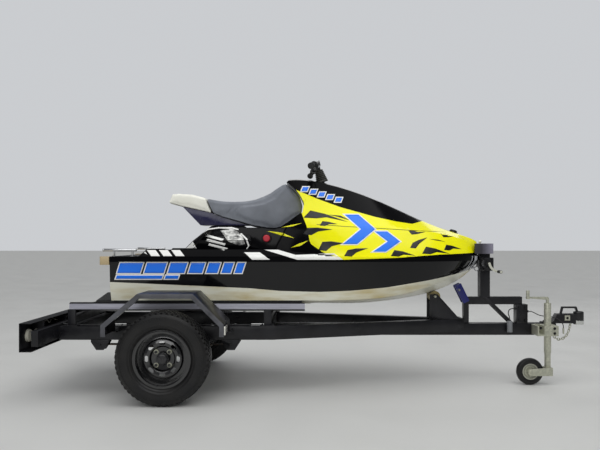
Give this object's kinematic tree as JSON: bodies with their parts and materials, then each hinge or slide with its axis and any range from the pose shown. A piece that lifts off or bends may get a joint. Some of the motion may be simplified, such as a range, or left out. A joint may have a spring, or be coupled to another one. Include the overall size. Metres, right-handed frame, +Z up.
{
  "type": "personal watercraft on trailer",
  "caption": "Sit-down personal watercraft with a jet pump, strapped on a braced single-axle road trailer with jockey wheel.",
  "frame": {"origin": "on the floor, below the middle of the whole object's box", "axes": "+X forward to the bow and the coupling, +Y to port, +Z up"},
  "size_m": [3.744, 1.51, 1.5827],
  "materials": {
    "gelcoat_black": "black gelcoat over glass-fibre moulding, gloss",
    "gelcoat_yellow": "fluorescent yellow wrap with black and blue shapes, gloss",
    "bumper_rubber": "black extruded rubber",
    "saddle_grey": "grained marine vinyl, satin",
    "tail_white": "off-white moulded plastic, satin",
    "base_navy": "navy moulded plastic, satin",
    "engine_grey": "plain cast block, matt",
    "knob_red": "red moulded plastic, satin",
    "stainless": "polished stainless steel",
    "pump_alloy": "cast alloy, satin",
    "impeller_steel": "machined stainless steel",
    "corner_tan": "tan rubber, matt",
    "grip_black": "ribbed rubber, matt",
    "bar_black": "black powder coat, satin",
    "frame_black": "black enamel on mild steel, satin",
    "rim_black": "black painted pressed steel, satin",
    "tyre": "black tread rubber",
    "hub_steel": "black painted casting with bare studs",
    "spring_steel": "blackened spring steel",
    "bunk_silver": "mill-finish extruded aluminium",
    "carpet": "black marine carpet",
    "roller_tan": "tan polyurethane, satin",
    "stop_rubber": "dark grey rubber",
    "galvanised": "zinc-plated steel, dull",
    "strap_grey": "grey polyester webbing",
    "jockey_hub": "pressed zinc-plated disc",
    "lens_red": "red moulded lens",
    "reflector": "clear prismatic reflector",
    "cable_grey": "light grey cable sheath",
    "guide_blue": "dark blue enamel on flat steel bar, satin",
    "plug_grey": "grey moulded plug"
  },
  "bodies": {
    "root": {"axle": "frame_black", "bow_eye": "stainless", "bow_stop": "stop_rubber", "bow_strap": "strap_grey", "breakaway_cable": "cable_grey", "bunk_boards": "bunk_silver", "bunk_hoops": "frame_black", "bunk_pads": "carpet", "cable_clip": "galvanised", "coupling": "frame_black", "crossmembers": "frame_black", "deck": "gelcoat_black", "drawbar": "frame_black", "engine": "engine_grey", "front_support": "frame_black", "guard_reflectors": "reflector", "gunwale_bumper": "bumper_rubber", "hood": "gelcoat_yellow", "hull": "gelcoat_black", "jet_pump": "pump_alloy", "jockey_clamp": "galvanised", "jockey_tube": "galvanised", "knob": "knob_red", "leaf_springs": "spring_steel", "light_channel": "frame_black", "pigtail": "cable_grey", "plug": "plug_grey", "rear_lamps": "lens_red", "ride_plate": "pump_alloy", "roller_bracket": "frame_black", "saddle_base": "base_navy", "side_pods": "gelcoat_black", "side_rails": "frame_black", "spring_hangers": "frame_black", "stem_guide": "guide_blue", "stern_corners": "corner_tan", "stern_rails": "stainless", "wheel_guards": "frame_black", "winch_frame": "frame_black", "winch_stand": "frame_black"},
    "wheel_right": {"tyre_right": "tyre", "rim_right": "rim_black", "hub_right": "hub_steel"},
    "wheel_left": {"tyre_left": "tyre", "rim_left": "rim_black", "hub_left": "hub_steel"},
    "saddle_lid": {"saddle": "saddle_grey", "saddle_tail": "tail_white"},
    "steering": {"steering_column": "bar_black", "handlebar": "bar_black", "grips": "grip_black"},
    "nozzle": {"steering_nozzle": "pump_alloy"},
    "impeller": {"impeller": "impeller_steel"},
    "roller": {"keel_roller": "roller_tan"},
    "winch_drum": {"winch_drum": "galvanised"},
    "jockey_leg": {"jockey_leg": "galvanised"},
    "jockey_fork": {"jockey_fork": "galvanised"},
    "jockey_wheel": {"jockey_rim": "jockey_hub", "jockey_tyre": "tyre"}
  },
  "joints": [
    {"name": "wheel_right_spin", "type": "hinge", "parent": "root", "child": "wheel_right", "pos_m": [-1.007, -0.6675, 0.289], "axis": [0, 1, 0], "continuous": true},
    {"name": "wheel_left_spin", "type": "hinge", "parent": "root", "child": "wheel_left", "pos_m": [-1.007, 0.6675, 0.289], "axis": [0, 1, 0], "continuous": true},
    {"name": "saddle_lift", "type": "slide", "parent": "root", "child": "saddle_lid", "axis": [-0.88, 0, 0.475], "range_m": [0, 0.35]},
    {"name": "steering_turn", "type": "hinge", "parent": "root", "child": "steering", "pos_m": [-0.005, 0, 1.4], "axis": [-0.2924, 0, 0.9563], "range_deg": [-30, 30]},
    {"name": "nozzle_turn", "type": "hinge", "parent": "root", "child": "nozzle", "pos_m": [-1.405, 0, 0.655], "axis": [0, 0, 1], "range_deg": [-18, 18]},
    {"name": "impeller_spin", "type": "hinge", "parent": "root", "child": "impeller", "pos_m": [-1.29, 0, 0.655], "axis": [1, 0, 0], "continuous": true},
    {"name": "roller_spin", "type": "hinge", "parent": "root", "child": "roller", "pos_m": [0.789, 0, 0.61041], "axis": [0, 1, 0], "continuous": true},
    {"name": "winch_turn", "type": "hinge", "parent": "root", "child": "winch_drum", "pos_m": [1.152, -0.078, 0.848], "axis": [0, 1, 0], "continuous": true},
    {"name": "jockey_raise", "type": "slide", "parent": "root", "child": "jockey_leg", "axis": [0, 0, 1], "range_m": [-0.15, 0.085]},
    {"name": "jockey_swivel", "type": "hinge", "parent": "jockey_leg", "child": "jockey_fork", "pos_m": [1.562, -0.13, 0.12], "axis": [0, 0, 1], "continuous": true},
    {"name": "jockey_wheel_spin", "type": "hinge", "parent": "jockey_fork", "child": "jockey_wheel", "pos_m": [1.436, -0.13, 0.093], "axis": [0, 1, 0], "continuous": true}
  ],
  "couplings": [
    {"joint": "nozzle_turn", "follows": "steering_turn", "ratio": 0.6}
  ]
}
